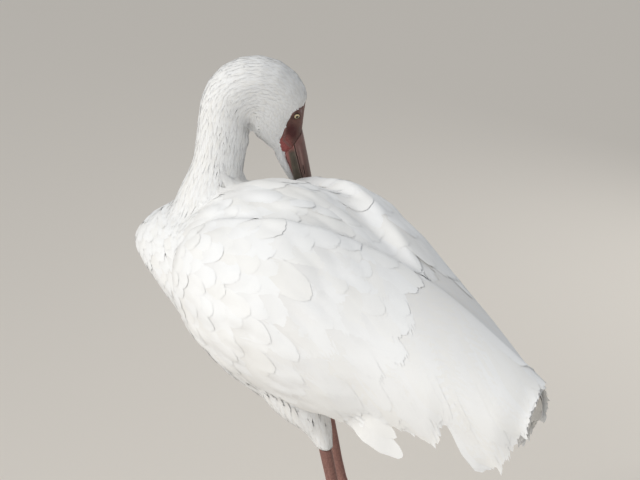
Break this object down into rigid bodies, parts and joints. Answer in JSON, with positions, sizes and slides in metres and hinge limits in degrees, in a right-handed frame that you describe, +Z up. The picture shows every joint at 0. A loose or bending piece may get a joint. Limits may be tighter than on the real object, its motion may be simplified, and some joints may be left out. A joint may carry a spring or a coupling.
{
  "type": "siberian crane",
  "caption": "Still, life-size white crane standing with its neck arched back and its bill tucked behind its folded wing, preening.",
  "frame": {"origin": "on the floor, below the middle of the whole bird's bounding box", "axes": "the bird faces -Y, its left side is +X, +Z is up from the floor"},
  "size_m": [0.2846, 0.554, 0.8663],
  "materials": {
    "plumage": "soft white feathers",
    "bare_face": "bare wrinkled skin",
    "bill": "satin horn",
    "eye": "wet gloss",
    "leg": "scaled skin",
    "claw": "satin horn",
    "primary": "black feathers"
  },
  "bodies": {
    "root": {"trunk": "plumage", "head": "plumage", "neck_upper": "plumage", "neck_middle": "plumage", "neck_base": "plumage", "chin": "plumage", "wing_left": "plumage", "wing_right": "plumage", "tertials_left": "plumage", "tertials_right": "plumage", "tail": "plumage", "thigh_left": "plumage", "thigh_right": "plumage", "face": "bare_face", "bill_upper": "bill", "bill_lower": "bill", "eye_left": "eye", "eye_right": "eye", "shin_left": "leg", "tarsus_left": "leg", "toe_inner_left": "leg", "toe_middle_left": "leg", "toe_outer_left": "leg", "toe_hind_left": "leg", "shin_right": "leg", "tarsus_right": "leg", "toe_inner_right": "leg", "toe_middle_right": "leg", "toe_outer_right": "leg", "toe_hind_right": "leg", "claw_inner_left": "claw", "claw_middle_left": "claw", "claw_outer_left": "claw", "claw_hind_left": "claw", "claw_inner_right": "claw", "claw_middle_right": "claw", "claw_outer_right": "claw", "claw_hind_right": "claw", "primaries_left": "primary", "primaries_right": "primary"}
  },
  "joints": []
}
